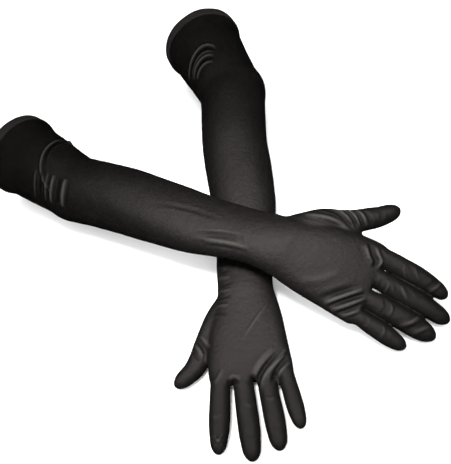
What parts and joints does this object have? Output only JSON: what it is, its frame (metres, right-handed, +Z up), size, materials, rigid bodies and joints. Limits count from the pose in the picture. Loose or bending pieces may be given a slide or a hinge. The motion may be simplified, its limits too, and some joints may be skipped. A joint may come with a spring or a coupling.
{
  "type": "opera gloves",
  "caption": "Pair of long satin gloves reaching past the elbow, with a turned hem, full fingers and flexible elbow, wrist, finger and thumb joints, lying crossed palms down.",
  "frame": {"origin": "on the table under the middle of the bounding box of the crossed pair", "axes": "+Z up from the table; the left glove's fingers point to about -Y and the right glove's fingers to about +X"},
  "size_m": [0.513, 0.5215, 0.094],
  "materials": {
    "satin": "black stretch satin",
    "hem": "black satin, turned and pressed",
    "gusset": "black stretch satin",
    "thread": "black polyester thread"
  },
  "bodies": {
    "left_upper": {"left_hem": "hem", "left_hem_stitches": "thread", "left_upper_sleeve": "satin"},
    "left_forearm": {"left_forearm_sleeve": "satin", "left_elbow_gather": "satin", "left_wrist_sleeve": "satin"},
    "left_hand": {"left_hand_back": "satin", "left_hand_palm": "satin", "left_thumb_gusset": "gusset", "left_index_middle_fourchette": "gusset", "left_middle_ring_fourchette": "gusset", "left_ring_little_fourchette": "gusset"},
    "left_index_lower": {"left_index_base": "satin"},
    "left_index_upper": {"left_index_tip": "satin"},
    "left_middle_lower": {"left_middle_base": "satin"},
    "left_middle_upper": {"left_middle_tip": "satin"},
    "left_ring_lower": {"left_ring_base": "satin"},
    "left_ring_upper": {"left_ring_tip": "satin"},
    "left_little_lower": {"left_little_base": "satin"},
    "left_little_upper": {"left_little_tip": "satin"},
    "left_thumb_lower": {"left_thumb_base": "satin"},
    "left_thumb_upper": {"left_thumb_tip": "satin"},
    "right_upper": {"right_hem": "hem", "right_hem_stitches": "thread", "right_upper_sleeve": "satin"},
    "right_forearm": {"right_forearm_sleeve": "satin", "right_elbow_gather": "satin", "right_wrist_sleeve": "satin"},
    "right_hand": {"right_hand_back": "satin", "right_hand_palm": "satin", "right_thumb_gusset": "gusset", "right_index_middle_fourchette": "gusset", "right_middle_ring_fourchette": "gusset", "right_ring_little_fourchette": "gusset"},
    "right_index_lower": {"right_index_base": "satin"},
    "right_index_upper": {"right_index_tip": "satin"},
    "right_middle_lower": {"right_middle_base": "satin"},
    "right_middle_upper": {"right_middle_tip": "satin"},
    "right_ring_lower": {"right_ring_base": "satin"},
    "right_ring_upper": {"right_ring_tip": "satin"},
    "right_little_lower": {"right_little_base": "satin"},
    "right_little_upper": {"right_little_tip": "satin"},
    "right_thumb_lower": {"right_thumb_base": "satin"},
    "right_thumb_upper": {"right_thumb_tip": "satin"}
  },
  "joints": [
    {"name": "left_elbow_bend", "type": "hinge", "parent": "left_forearm", "child": "left_upper", "pos_m": [-0.00097, 0.15501, 0.0363], "axis": [0, 0, 1], "range_deg": [-20, 61], "deforming": ["left_elbow_gather"]},
    {"name": "left_wrist_bend", "type": "hinge", "parent": "left_forearm", "child": "left_hand", "pos_m": [0.0601, -0.0936, 0.0195], "axis": [0.9613, 0.2756, 0], "range_deg": [-25, 60], "deforming": ["left_wrist_sleeve"]},
    {"name": "left_index_knuckle", "type": "hinge", "parent": "left_hand", "child": "left_index_lower", "pos_m": [0.05524, -0.19977, 0.01246], "axis": [0.9847, 0.1739, -0.0073], "range_deg": [-10, 75]},
    {"name": "left_index_fold", "type": "hinge", "parent": "left_index_lower", "child": "left_index_upper", "pos_m": [0.06, -0.22678, 0.01055], "axis": [0.9847, 0.1739, -0.0073], "range_deg": [0, 80]},
    {"name": "left_middle_knuckle", "type": "hinge", "parent": "left_hand", "child": "left_middle_lower", "pos_m": [0.07657, -0.19369, 0.01246], "axis": [0.9511, 0.3089, 0.0024], "range_deg": [-10, 75]},
    {"name": "left_middle_fold", "type": "hinge", "parent": "left_middle_lower", "child": "left_middle_upper", "pos_m": [0.08659, -0.22452, 0.01019], "axis": [0.9511, 0.3089, 0.0024], "range_deg": [0, 80]},
    {"name": "left_ring_knuckle", "type": "hinge", "parent": "left_hand", "child": "left_ring_lower", "pos_m": [0.09764, -0.18762, 0.01246], "axis": [0.9305, 0.3663, 0.0067], "range_deg": [-10, 75]},
    {"name": "left_ring_fold", "type": "hinge", "parent": "left_ring_lower", "child": "left_ring_upper", "pos_m": [0.10843, -0.21499, 0.01041], "axis": [0.9305, 0.3663, 0.0067], "range_deg": [0, 80]},
    {"name": "left_little_knuckle", "type": "hinge", "parent": "left_hand", "child": "left_little_lower", "pos_m": [0.11599, -0.18232, 0.01246], "axis": [0.9136, 0.4064, 0.0097], "range_deg": [-10, 75]},
    {"name": "left_little_fold", "type": "hinge", "parent": "left_little_lower", "child": "left_little_upper", "pos_m": [0.12422, -0.20077, 0.01106], "axis": [0.9136, 0.4064, 0.0097], "range_deg": [0, 80]},
    {"name": "left_thumb_knuckle", "type": "hinge", "parent": "left_hand", "child": "left_thumb_lower", "pos_m": [0.03008, -0.15581, 0.01089], "axis": [0.9752, -0.2188, -0.0335], "range_deg": [0, 30]},
    {"name": "left_thumb_fold", "type": "hinge", "parent": "left_thumb_lower", "child": "left_thumb_upper", "pos_m": [0.0248, -0.17911, 0.00942], "axis": [0.7484, -0.4104, 0.521], "range_deg": [0, 45]},
    {"name": "right_elbow_bend", "type": "hinge", "parent": "right_forearm", "child": "right_upper", "pos_m": [-0.14773, 0.00241, 0.042], "axis": [0, 0, -1], "range_deg": [-10, 71], "deforming": ["right_elbow_gather"]},
    {"name": "right_wrist_bend", "type": "hinge", "parent": "right_forearm", "child": "right_hand", "pos_m": [0.0951, -0.0686, 0.065], "axis": [0.3295, 0.9162, 0.2279], "range_deg": [-40, 25], "deforming": ["right_wrist_sleeve"]},
    {"name": "right_index_knuckle", "type": "hinge", "parent": "right_hand", "child": "right_index_lower", "pos_m": [0.19788, -0.06298, 0.03864], "axis": [0.3532, 0.9095, 0.219], "range_deg": [-10, 75]},
    {"name": "right_index_fold", "type": "hinge", "parent": "right_index_lower", "child": "right_index_upper", "pos_m": [0.22266, -0.07034, 0.02926], "axis": [0.3532, 0.9095, 0.219], "range_deg": [0, 80]},
    {"name": "right_middle_knuckle", "type": "hinge", "parent": "right_hand", "child": "right_middle_lower", "pos_m": [0.19088, -0.08245, 0.0338], "axis": [0.3611, 0.9072, 0.2161], "range_deg": [-10, 75]},
    {"name": "right_middle_fold", "type": "hinge", "parent": "right_middle_lower", "child": "right_middle_upper", "pos_m": [0.22006, -0.09141, 0.02265], "axis": [0.3611, 0.9072, 0.2161], "range_deg": [0, 80]},
    {"name": "right_ring_knuckle", "type": "hinge", "parent": "right_hand", "child": "right_ring_lower", "pos_m": [0.18377, -0.10221, 0.02889], "axis": [0.3689, 0.9047, 0.2131], "range_deg": [-10, 75]},
    {"name": "right_ring_fold", "type": "hinge", "parent": "right_ring_lower", "child": "right_ring_upper", "pos_m": [0.21016, -0.11057, 0.01871], "axis": [0.3689, 0.9047, 0.2131], "range_deg": [0, 80]},
    {"name": "right_little_knuckle", "type": "hinge", "parent": "right_hand", "child": "right_little_lower", "pos_m": [0.17735, -0.11992, 0.02449], "axis": [0.438, 0.8797, 0.1853], "range_deg": [-10, 75]},
    {"name": "right_little_fold", "type": "hinge", "parent": "right_little_lower", "child": "right_little_upper", "pos_m": [0.19483, -0.12709, 0.01719], "axis": [0.438, 0.8797, 0.1853], "range_deg": [0, 80]},
    {"name": "right_thumb_knuckle", "type": "hinge", "parent": "right_hand", "child": "right_thumb_lower", "pos_m": [0.1549, -0.03315, 0.05539], "axis": [-0.3111, 0.8678, 0.3875], "range_deg": [0, 30]},
    {"name": "right_thumb_fold", "type": "hinge", "parent": "right_thumb_lower", "child": "right_thumb_upper", "pos_m": [0.17813, -0.02304, 0.05141], "axis": [-0.5189, 0.8367, -0.175], "range_deg": [0, 45]},
    {"name": "right_glove_lift", "type": "slide", "parent": "left_forearm", "child": "right_forearm", "axis": [0, 0, 1], "range_m": [0, 0.15]}
  ]
}
